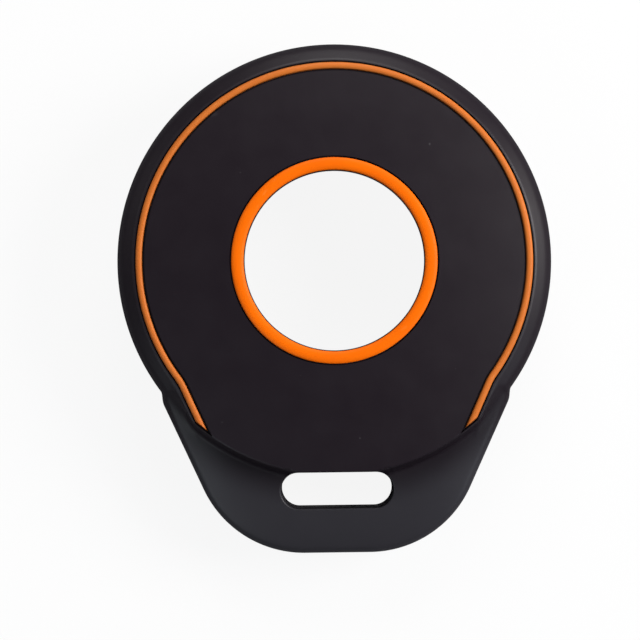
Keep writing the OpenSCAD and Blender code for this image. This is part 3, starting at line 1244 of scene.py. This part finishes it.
@dataclass
class Inlay:
    """An orange silicone inlay swept along a path, with a crowned top."""

    plan: CoverPlan
    face: CoverFace
    section: bpy.types.NodeTree
    crown: float = 0.3

    def path_object(self, name: str, points: Points, closed: bool) -> bpy.types.Object:
        """Makes the path as a mesh of edges.

        Args:
            name: Name of the piece.
            points: The path's x, y, z rows, in millimetres about the window's axis.
            closed: Whether the path's end is joined to its start.

        Returns:
            The path's object.
        """
        count = len(points)
        edges = [(i, (i + 1) % count) for i in range(count if closed else count - 1)]
        mesh = bpy.data.meshes.new(name)
        mesh.from_pydata(((points + [0.0, self.plan.sizes.window_y, 0.0]) * MM).tolist(), edges, [])
        return linked_object(name, mesh)

    def marked_path(self, tree: Tree) -> bpy.types.Node:
        """Adds the path as a leant curve that knows its nearer end, its half and its heading.

        Args:
            tree: The sweep's tree.

        Returns:
            The node that puts out the curve and its marks.
        """
        curve = tree.add("GeometryNodeMeshToCurve", Mesh=tree.inputs["Path"])
        upright = tree.add("GeometryNodeSetCurveNormal", {"mode": "Z_UP"}, Curve=curve.outputs[0])
        leant = tree.add("GeometryNodeSetCurveTilt", Curve=upright.outputs[0], Tilt=tree.inputs["Lean"])
        along = tree.add("GeometryNodeSplineParameter").outputs["Length"]
        whole = tree.add("GeometryNodeSplineLength").outputs["Length"]
        to_end = tree.math("MINIMUM", along, tree.math("SUBTRACT", whole, along))
        first_half = tree.math("LESS_THAN", along, tree.math("MULTIPLY", whole, 0.5))
        side = tree.math("SUBTRACT", tree.math("MULTIPLY", first_half, 2.0), 1.0)
        heading = tree.add("GeometryNodeInputTangent").outputs[0]
        marked = tree.add("GeometryNodeCaptureAttribute", Geometry=leant.outputs[0])
        marks = (("FLOAT", "To end", to_end), ("FLOAT", "Half", side), ("VECTOR", "Heading", heading))
        for kind, label, source in marks:
            marked.capture_items.new(kind, label)
            tree.feed(marked.inputs[label], source)
        return marked

    def marked_section(self, tree: Tree) -> bpy.types.Node:
        """Adds the section as a curve that knows the places of its points.

        Args:
            tree: The sweep's tree.

        Returns:
            The node that puts out the curve and its marks.
        """
        shape = tree.add("GeometryNodeGroup", {"node_tree": self.section})
        for label in SECTION_INPUTS:
            tree.feed(shape.inputs[label], tree.inputs[label])
        place = tree.add("ShaderNodeSeparateXYZ", Vector=tree.add("GeometryNodeInputPosition").outputs[0])
        section = tree.add("GeometryNodeCaptureAttribute", Geometry=shape.outputs[0])
        for label in ("X", "Y"):
            section.capture_items.new("FLOAT", label)
            tree.feed(section.inputs[label], place.outputs[label])
        return section

    def sweep_tree(self, name: str) -> Tree:
        """Makes the tree that sweeps the section along the path, with slanted and rounded tips.

        Args:
            name: Name of the tree.

        Returns:
            The wrapped tree.
        """
        tree = Tree.group(
            name,
            "GeometryNodeTree",
            {
                "Path": ("NodeSocketGeometry", None),
                **SECTION_INPUTS,
                "Lean": ("NodeSocketFloat", 0.0),
                "Slant": ("NodeSocketFloat", 0.0),
                "Slant reach": ("NodeSocketFloat", 0.001),
                "Tip round": ("NodeSocketFloat", 0.0),
                "Finish": ("NodeSocketMaterial", None),
            },
            {"Inlay": "NodeSocketGeometry"},
        )
        given = tree.inputs
        marked = self.marked_path(tree)
        section = self.marked_section(tree)
        swept = tree.add(
            "GeometryNodeCurveToMesh",
            Curve=marked.outputs[0],
            Profile_Curve=section.outputs[0],
            Fill_Caps=True,
        )
        from_tip = tree.math("DIVIDE", marked.outputs["To end"], given["Slant reach"])
        near = tree.math("SUBTRACT", 1.0, from_tip, clamp=True)
        slant = tree.math("MULTIPLY", marked.outputs["Half"], given["Slant"])
        shear = tree.product(section.outputs["X"], slant, near)
        level = tree.math("MULTIPLY", section.outputs["Y"], -1.0)
        middle = tree.math("MULTIPLY", given["Side height"], 0.5)
        high = tree.math("MAXIMUM", tree.math("SUBTRACT", level, middle), 0.0)
        pull = tree.product(high, given["Tip round"], near, marked.outputs["Half"])
        slide = tree.add("ShaderNodeVectorMath", {"operation": "SCALE"}, Scale=tree.math("ADD", shear, pull))
        tree.feed(slide.inputs[0], marked.outputs["Heading"])
        cut = tree.add("GeometryNodeSetPosition", Geometry=swept.outputs[0], Offset=slide.outputs[0])
        welded = tree.add("GeometryNodeMergeByDistance", Geometry=cut.outputs[0], Distance=WELD)
        whole_piece = tree.add("GeometryNodeRealizeInstances", Geometry=welded.outputs[0])
        dressed = tree.add("GeometryNodeSetMaterial", Geometry=whole_piece.outputs[0])
        tree.feed(dressed.inputs["Material"], given["Finish"])
        tree.feed(tree.outputs["Inlay"], dressed.outputs[0])
        return tree

    def sweep(
        self, path: bpy.types.Object, finish: bpy.types.Material, sizes: dict[str, float]
    ) -> bpy.types.Object:
        """Sweeps the section along a path and leaves a plain mesh.

        Args:
            path: The path's object, which becomes the piece.
            finish: The piece's material.
            sizes: Values of the tree's inputs, in metres and radians.

        Returns:
            The piece's object.
        """
        tree = self.sweep_tree(f"{path.name}_sweep").tree
        modifier = path.modifiers.new("sweep", "NODES")
        modifier.node_group = tree
        named = {item.name: item.identifier for item in tree.interface.items_tree if item.in_out == "INPUT"}
        for label, value in {**sizes, "Finish": finish}.items():
            modifier[named[label]] = value
        evaluated = path.evaluated_get(bpy.context.evaluated_depsgraph_get())
        mesh = bpy.data.meshes.new_from_object(evaluated)
        path.modifiers.remove(modifier)
        path.data = mesh
        close_mesh(path.name, mesh)
        return path

    def section_sizes(self, width: float, height: float) -> dict[str, float]:
        """Values of the section's inputs for a width and a height in millimetres.

        Args:
            width: Width of the inlay.
            height: Height of the inlay over its crown.

        Returns:
            The values in metres.
        """
        return {
            "Half width": width / 2 * MM,
            "Side height": (height - self.crown) * MM,
            "Crown": self.crown * MM,
        }


@dataclass
class WindowRing(Inlay):
    """The inlay round the window."""

    stations: int = 360

    def build(self, finish: bpy.types.Material) -> bpy.types.Object:
        """Makes the ring.

        Args:
            finish: The ring's material.

        Returns:
            The piece's object.
        """
        sizes = self.plan.sizes
        middle = circle(sizes.ring_in_r + sizes.ring_w / 2, self.stations)
        path = self.path_object("orange_window_ring", lifted(middle, sizes.seat_z), True)
        return self.sweep(path, finish, self.section_sizes(sizes.ring_w, sizes.ring_seat + sizes.ring_proud))


@dataclass
class AccentLine(Inlay):
    """The thin inlay that follows the head and ends in slanted tips."""

    station_step: float = 0.3
    slant_reach: float = 2.4
    tip_round: float = 1.0

    def build(self, finish: bpy.types.Material) -> bpy.types.Object:
        """Makes the line.

        Args:
            finish: The line's material.

        Returns:
            The piece's object.
        """
        plan, sizes = self.plan, self.plan.sizes
        course = plan.line_path(0.0, sizes.tip_r, self.station_step)
        depth = sizes.line_seat - sizes.line_fit
        path = self.path_object("orange_accent_line", lifted(course, self.face.face(course) - depth), False)
        return self.sweep(path, finish, {
            **self.section_sizes(sizes.line_w, depth + sizes.line_proud),
            "Lean": math.asin(plan.line_r / sizes.dome_r),
            "Slant": 1.0 / math.tan(math.acos(plan.side_at / sizes.tip_r)),
            "Slant reach": self.slant_reach * MM,
            "Tip round": self.tip_round,
        })


def shader_group(name: str, inputs: dict[str, float], outputs: Iterable[str]) -> Tree:
    """Starts a shader node group whose inputs and outputs are numbers.

    Args:
        name: Name of the group.
        inputs: First value of each input.
        outputs: Names of the outputs.

    Returns:
        The wrapped tree.
    """
    given = {label: ("NodeSocketFloat", value) for label, value in inputs.items()}
    return Tree.group(name, "ShaderNodeTree", given, {label: "NodeSocketFloat" for label in outputs})


def grain_group() -> bpy.types.NodeTree:
    """Makes the node group for the fine skin of moulded silicone.

    Returns:
        The group, which puts out a height from 0 to 1 and a slow unevenness.
    """
    tree = shader_group("silicone_grain", {"Grain": 9000.0, "Unevenness": 260.0}, ("Height", "Uneven"))
    spot = tree.add("ShaderNodeTexCoord").outputs["Object"]
    small, large = tree.inputs["Grain"], tree.inputs["Unevenness"]
    fine = tree.add("ShaderNodeTexNoise", Vector=spot, Scale=small, Detail=3.0, Roughness=0.6)
    slow = tree.add("ShaderNodeTexNoise", Vector=spot, Scale=large, Detail=4.0, Roughness=0.55)
    tree.feed(tree.outputs["Height"], fine.outputs["Fac"])
    tree.feed(tree.outputs["Uneven"], slow.outputs["Fac"])
    return tree.tree


def dust_group() -> bpy.types.NodeTree:
    """Makes the node group for specks of dust that lie on faces that look up.

    Returns:
        The group, which puts out a mask of the specks.
    """
    inputs = {"Spacing": 420.0, "Size": 0.05, "Least size": 0.35, "Share": 0.3}
    tree = shader_group("dust_specks", inputs, ("Mask",))
    spot = tree.add("ShaderNodeTexCoord").outputs["Object"]
    cells = tree.add("ShaderNodeTexVoronoi", Vector=spot, Scale=tree.inputs["Spacing"], Randomness=1.0)
    shade = tree.add("ShaderNodeSeparateColor", Color=cells.outputs["Color"])
    varied = tree.math("ADD", shade.outputs["Green"], tree.inputs["Least size"])
    size = tree.math("MULTIPLY", tree.inputs["Size"], varied)
    inside = tree.math("SUBTRACT", 1.0, tree.math("DIVIDE", cells.outputs["Distance"], size), clamp=True)
    chosen = tree.math("LESS_THAN", shade.outputs["Red"], tree.inputs["Share"])
    facing = tree.add("ShaderNodeSeparateXYZ", Vector=tree.add("ShaderNodeNewGeometry").outputs["Normal"])
    level = tree.math("MAXIMUM", facing.outputs["Z"], 0.0)
    tree.feed(tree.outputs["Mask"], tree.product(tree.math("SQRT", inside), chosen, level))
    return tree.tree


def painted_tail_light_group(middle_y: float) -> bpy.types.NodeTree:
    """Makes the node group for painted light on the tail: a paler tone in place of the light that falls on
    it.

    Args:
        middle_y: Place of the window's axis along the cover, in metres.

    Returns:
        The group, which puts out a mask of painted light that grows from the step to the tail's end.
    """
    inputs = {
        "Middle": middle_y,
        "Step": 26.8 * MM,
        "Full": 31.5 * MM,
        "Side from": 14.0 * MM,
        "Side to": 19.0 * MM,
    }
    tree = shader_group("painted_tail_light", inputs, ("Mask",))
    spot = tree.add("ShaderNodeSeparateXYZ", Vector=tree.add("ShaderNodeTexCoord").outputs["Object"])
    down = tree.math("SUBTRACT", tree.inputs["Middle"], spot.outputs["Y"])
    across = tree.math("MULTIPLY", spot.outputs["X"], spot.outputs["X"])
    reach = tree.math("SQRT", tree.math("ADD", across, tree.math("MULTIPLY", down, down)))
    past_step = tree.eased(reach, tree.inputs["Step"], tree.inputs["Full"])
    below = tree.eased(down, tree.inputs["Side from"], tree.inputs["Side to"])
    tree.feed(tree.outputs["Mask"], tree.math("MULTIPLY", past_step, below))
    return tree.tree


def wear_group() -> bpy.types.NodeTree:
    """Makes the node group for edges rubbed by pockets and keys.

    Returns:
        The group, which puts out a mask of the rubbed edges.
    """
    inputs = {"From": 0.52, "To": 0.62, "Breakup": 900.0, "Patches": 0.35, "Patch edge": 3.0}
    tree = shader_group("rubbed_edges", inputs, ("Mask",))
    sharp = tree.add("ShaderNodeNewGeometry").outputs["Pointiness"]
    edge = tree.eased(sharp, tree.inputs["From"], tree.inputs["To"])
    spot = tree.add("ShaderNodeTexCoord").outputs["Object"]
    noise = tree.add("ShaderNodeTexNoise", Vector=spot, Scale=tree.inputs["Breakup"], Detail=3.0)
    over = tree.math("SUBTRACT", noise.outputs["Fac"], tree.inputs["Patches"])
    patch = tree.math("MULTIPLY", over, tree.inputs["Patch edge"], clamp=True)
    tree.feed(tree.outputs["Mask"], tree.math("MULTIPLY", edge, patch))
    return tree.tree


@dataclass(frozen=True)
class Effects:
    """Node groups that the silicones share."""

    grain: bpy.types.NodeTree
    dust: bpy.types.NodeTree
    wear: bpy.types.NodeTree
    # Painted light on the tail.
    tail_light_paint: bpy.types.NodeTree


@dataclass(frozen=True)
class SiliconeFinish:
    """One moulded silicone, with its colours, gloss, wear and painted light. The grain's depth is in
    millimetres.
    """

    name: str
    colour: Colour
    second: Colour
    rubbed: Colour
    roughness: float
    uneven_gloss: float
    specular: float
    grain_depth: float
    dust_share: float
    wear: float
    # Strength of the painted light on the tail.
    tail_light_paint: float = 0.0
    dust_tint: float = 0.1
    dust_roughness: float = 0.3

    def tinted(
        self, tree: Tree, effects: Effects, skin: bpy.types.Node, specks: bpy.types.Node
    ) -> bpy.types.NodeSocket:
        """Adds the colour: mottled, paler on the tail with painted light, paler where rubbed, and dusty.

        Args:
            tree: The material's tree.
            effects: The shared node groups.
            skin: The node of the grain.
            specks: The node of the dust.

        Returns:
            The colour's socket.
        """
        tail_light_node = tree.add("ShaderNodeGroup", {"node_tree": effects.tail_light_paint})
        rubbed = tree.add("ShaderNodeGroup", {"node_tree": effects.wear})
        tint = tree.mix(skin.outputs["Uneven"], self.colour.opaque, self.second.opaque)
        # Painted light on the tail comes first, then real wear and dust.
        for node, strength, colour in (
            (tail_light_node, self.tail_light_paint, Colour.PAINTED_TAIL_LIGHT),
            (rubbed, self.wear, self.rubbed),
            (specks, self.dust_tint, Colour.DUST),
        ):
            tint = tree.mix(tree.math("MULTIPLY", node.outputs["Mask"], strength), tint, colour.opaque)
        return tint

    def build(self, effects: Effects) -> bpy.types.Material:
        """Makes the material.

        Args:
            effects: The shared node groups.

        Returns:
            The material.
        """
        material = bpy.data.materials.new(self.name)
        tree = Tree.cleared(material)
        skin = tree.add("ShaderNodeGroup", {"node_tree": effects.grain})
        specks = tree.add("ShaderNodeGroup", {"node_tree": effects.dust})
        specks.inputs["Share"].default_value = self.dust_share
        tint = self.tinted(tree, effects, skin, specks)
        uneven = tree.math("SUBTRACT", skin.outputs["Uneven"], 0.5)
        gloss = tree.math("ADD", tree.math("MULTIPLY", uneven, self.uneven_gloss), self.roughness)
        dull = tree.math("MULTIPLY", specks.outputs["Mask"], self.dust_roughness)
        rough = tree.math("ADD", gloss, dull, clamp=True)
        bump = tree.add("ShaderNodeBump", Distance=self.grain_depth * MM, Height=skin.outputs["Height"])
        shader = tree.add("ShaderNodeBsdfPrincipled", Base_Color=tint, Roughness=rough)
        tree.feed(shader.inputs["Normal"], bump.outputs[0])
        shader.inputs["Specular IOR Level"].default_value = self.specular
        tree.add("ShaderNodeOutputMaterial", Surface=shader.outputs[0])
        return material


BLACK_SILICONE = SiliconeFinish(
    name="black_silicone",
    colour=Colour.BLACK,
    second=Colour.BLACK_LIGHT,
    rubbed=Colour.RUBBED_BLACK,
    roughness=0.42,
    uneven_gloss=0.12,
    specular=0.3,
    grain_depth=0.004,
    dust_share=0.25,
    wear=0.4,
    # The tail gets its full painted light.
    tail_light_paint=1.0,
)
ORANGE_SILICONE = SiliconeFinish(
    name="orange_silicone",
    colour=Colour.ORANGE,
    second=Colour.ORANGE_DEEP,
    rubbed=Colour.RUBBED_ORANGE,
    roughness=0.42,
    uneven_gloss=0.1,
    specular=0.08,
    grain_depth=0.003,
    dust_share=0.08,
    wear=0.15,
)
# The accent line's silicone: its colour holds painted shade and sheen, and it is a little rougher than the
# ring's.
SHADED_ORANGE_SILICONE = SiliconeFinish(
    name="orange_silicone_painted_shade",
    colour=Colour.SHADED_ORANGE,
    second=Colour.SHADED_ORANGE_DEEP,
    rubbed=Colour.RUBBED_SHADED_ORANGE,
    roughness=0.5,
    uneven_gloss=0.1,
    specular=0.2,
    grain_depth=0.003,
    dust_share=0.06,
    wear=0.3,
)


@dataclass(frozen=True)
class Lamp:
    """One soft lamp over the table, in metres and watts."""

    name: str
    place: tuple[float, float, float]
    width: float
    power: float
    colour: tuple[float, float, float]
    aim: tuple[float, float, float] = (0.0, 0.0, 0.01)

    def build(self) -> None:
        """Makes the lamp."""
        light = bpy.data.lights.new(self.name, "AREA")
        light.shape = "DISK"
        light.size = self.width
        light.energy = self.power
        light.color = self.colour
        made = linked_object(self.name, light)
        made.location = self.place
        made.rotation_euler = (Vector(self.aim) - Vector(self.place)).to_track_quat("-Z", "Y").to_euler()


LAMPS = (
    Lamp("key_lamp", place=(0.49, 0.10, 0.355), width=0.36, power=3.9, colour=(1.0, 0.98, 0.97)),
    Lamp("tail_lamp", place=(0.42, -0.25, 0.28), width=0.30, power=0.5, colour=(0.82, 0.93, 1.0)),
    Lamp("top_lamp", place=(0.04, 0.48, 0.30), width=0.40, power=1.9, colour=(1.0, 0.99, 0.98)),
    Lamp("left_lamp", place=(-0.36, -0.34, 0.36), width=0.40, power=0.75, colour=(0.85, 0.95, 1.0)),
    Lamp("far_left_lamp", place=(-0.43, 0.20, 0.27), width=0.30, power=0.22, colour=(1.0, 0.97, 0.98)),
)


@dataclass
class Studio:
    """The pale table and the camera over it.

    Lengths are in millimetres, places are about the window's axis, and turns are in degrees.
    """

    sizes: CoverSizes
    look_at: tuple[float, float] = (-1.87, -7.30)
    view_width: float = 79.5
    view_level: float = 12.9
    camera_height: float = 430.0
    camera_over: tuple[float, float] = (-1.87, -12.0)
    camera_turn: float = -0.74
    camera_near: float = 10.0
    world_strength: float = 0.12
    table_size: float = 3000.0
    table_gap: float = 0.02
    table_white: float = 0.9

    def camera(self) -> None:
        """Makes the camera straight above the lower head, with the photograph's shift and turn."""
        lens = bpy.data.cameras.new("top_camera")
        lens.lens = lens.sensor_width * self.camera_height / self.view_width
        lens.clip_start = self.camera_near * MM
        turn = math.radians(self.camera_turn)
        aside = Vector(self.look_at) - Vector(self.camera_over)
        lens.shift_x = aside.dot(Vector((math.cos(turn), math.sin(turn)))) / self.view_width
        lens.shift_y = aside.dot(Vector((-math.sin(turn), math.cos(turn)))) / self.view_width
        made = linked_object("top_camera", lens)
        across, along = self.camera_over
        level = self.view_level + self.camera_height
        made.location = (across * MM, (along + self.sizes.window_y) * MM, level * MM)
        made.rotation_euler = (0.0, 0.0, turn)
        bpy.context.scene.camera = made

    def world(self) -> None:
        """Makes the even light of the room, seen as white by the camera."""
        world = bpy.data.worlds.new("studio")
        tree = Tree.cleared(world)
        seen = tree.add("ShaderNodeLightPath").outputs["Is Camera Ray"]
        room = tree.add("ShaderNodeBackground", Color=Colour.ROOM.opaque, Strength=self.world_strength)
        white = tree.add("ShaderNodeBackground", Color=Colour.WHITE.opaque, Strength=1.0)
        tree.add("ShaderNodeOutputWorld", Surface=tree.mix_shaders(seen, room, white))
        bpy.context.scene.world = world

    def table_finish(self) -> bpy.types.Material:
        """Makes the pale table's material, nearly white to the camera and darker to the cover.

        Returns:
            The material.
        """
        material = bpy.data.materials.new("pale_table")
        tree = Tree.cleared(material)
        spot = tree.add("ShaderNodeTexCoord").outputs["Object"]
        mottle = tree.add("ShaderNodeTexNoise", Vector=spot, Scale=40.0, Detail=3.0)
        seen = tree.add("ShaderNodeLightPath").outputs["Is Camera Ray"]
        pale = tree.mix(mottle.outputs["Fac"], Colour.TABLE.opaque, Colour.TABLE_LIGHT.opaque)
        shaded = tree.mix(seen, Colour.TABLE_GLOW.opaque, pale)
        matt = tree.add("ShaderNodeBsdfPrincipled", Base_Color=shaded, Roughness=0.9)
        matt.inputs["Specular IOR Level"].default_value = 0.1
        white = tree.add("ShaderNodeEmission", Color=Colour.WHITE.opaque, Strength=1.0)
        share = tree.math("MULTIPLY", seen, self.table_white)
        tree.add("ShaderNodeOutputMaterial", Surface=tree.mix_shaders(share, matt, white))
        return material

    def table(self) -> None:
        """Makes the table top, just below the cover's back."""
        half = self.table_size / 2 * MM
        mesh = bpy.data.meshes.new("table_top")
        corners = [(-half, -half, 0.0), (half, -half, 0.0), (half, half, 0.0), (-half, half, 0.0)]
        mesh.from_pydata(corners, [], [(0, 1, 2, 3)])
        mesh.materials.append(self.table_finish())
        made = linked_object("table_top", mesh)
        made.location.z = -self.table_gap * MM

    def build(self) -> None:
        """Makes the whole studio."""
        self.camera()
        self.world()
        self.table()
        for lamp in LAMPS:
            lamp.build()
        bpy.context.scene.view_settings.view_transform = "Standard"


def main() -> None:
    """Builds the pieces, dresses them and sets the scene."""
    logging.basicConfig(level=logging.INFO, format="%(message)s")
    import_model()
    sizes = CoverSizes()
    plan = CoverPlan(sizes)
    face = CoverFace(plan)
    Studio(sizes).build()
    effects = Effects(
        grain=grain_group(),
        dust=dust_group(),
        wear=wear_group(),
        # The mask of painted light on the tail.
        tail_light_paint=painted_tail_light_group(sizes.window_y * MM),
    )
    body = CoverBody(plan, face).build()
    body.data.materials.append(BLACK_SILICONE.build(effects))
    section = crowned_section()
    ring = WindowRing(plan, face, section).build(ORANGE_SILICONE.build(effects))
    # The line's colour holds painted shade and sheen.
    line = AccentLine(plan, face, section).build(SHADED_ORANGE_SILICONE.build(effects))
    for piece, node in ((body, "cover_body"), (ring, "window_ring"), (line, "accent_line")):
        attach(piece, "root")
        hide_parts(node)
        logging.info("%s stands for %s", piece.name, node)


if __name__ == "__main__":
    main()
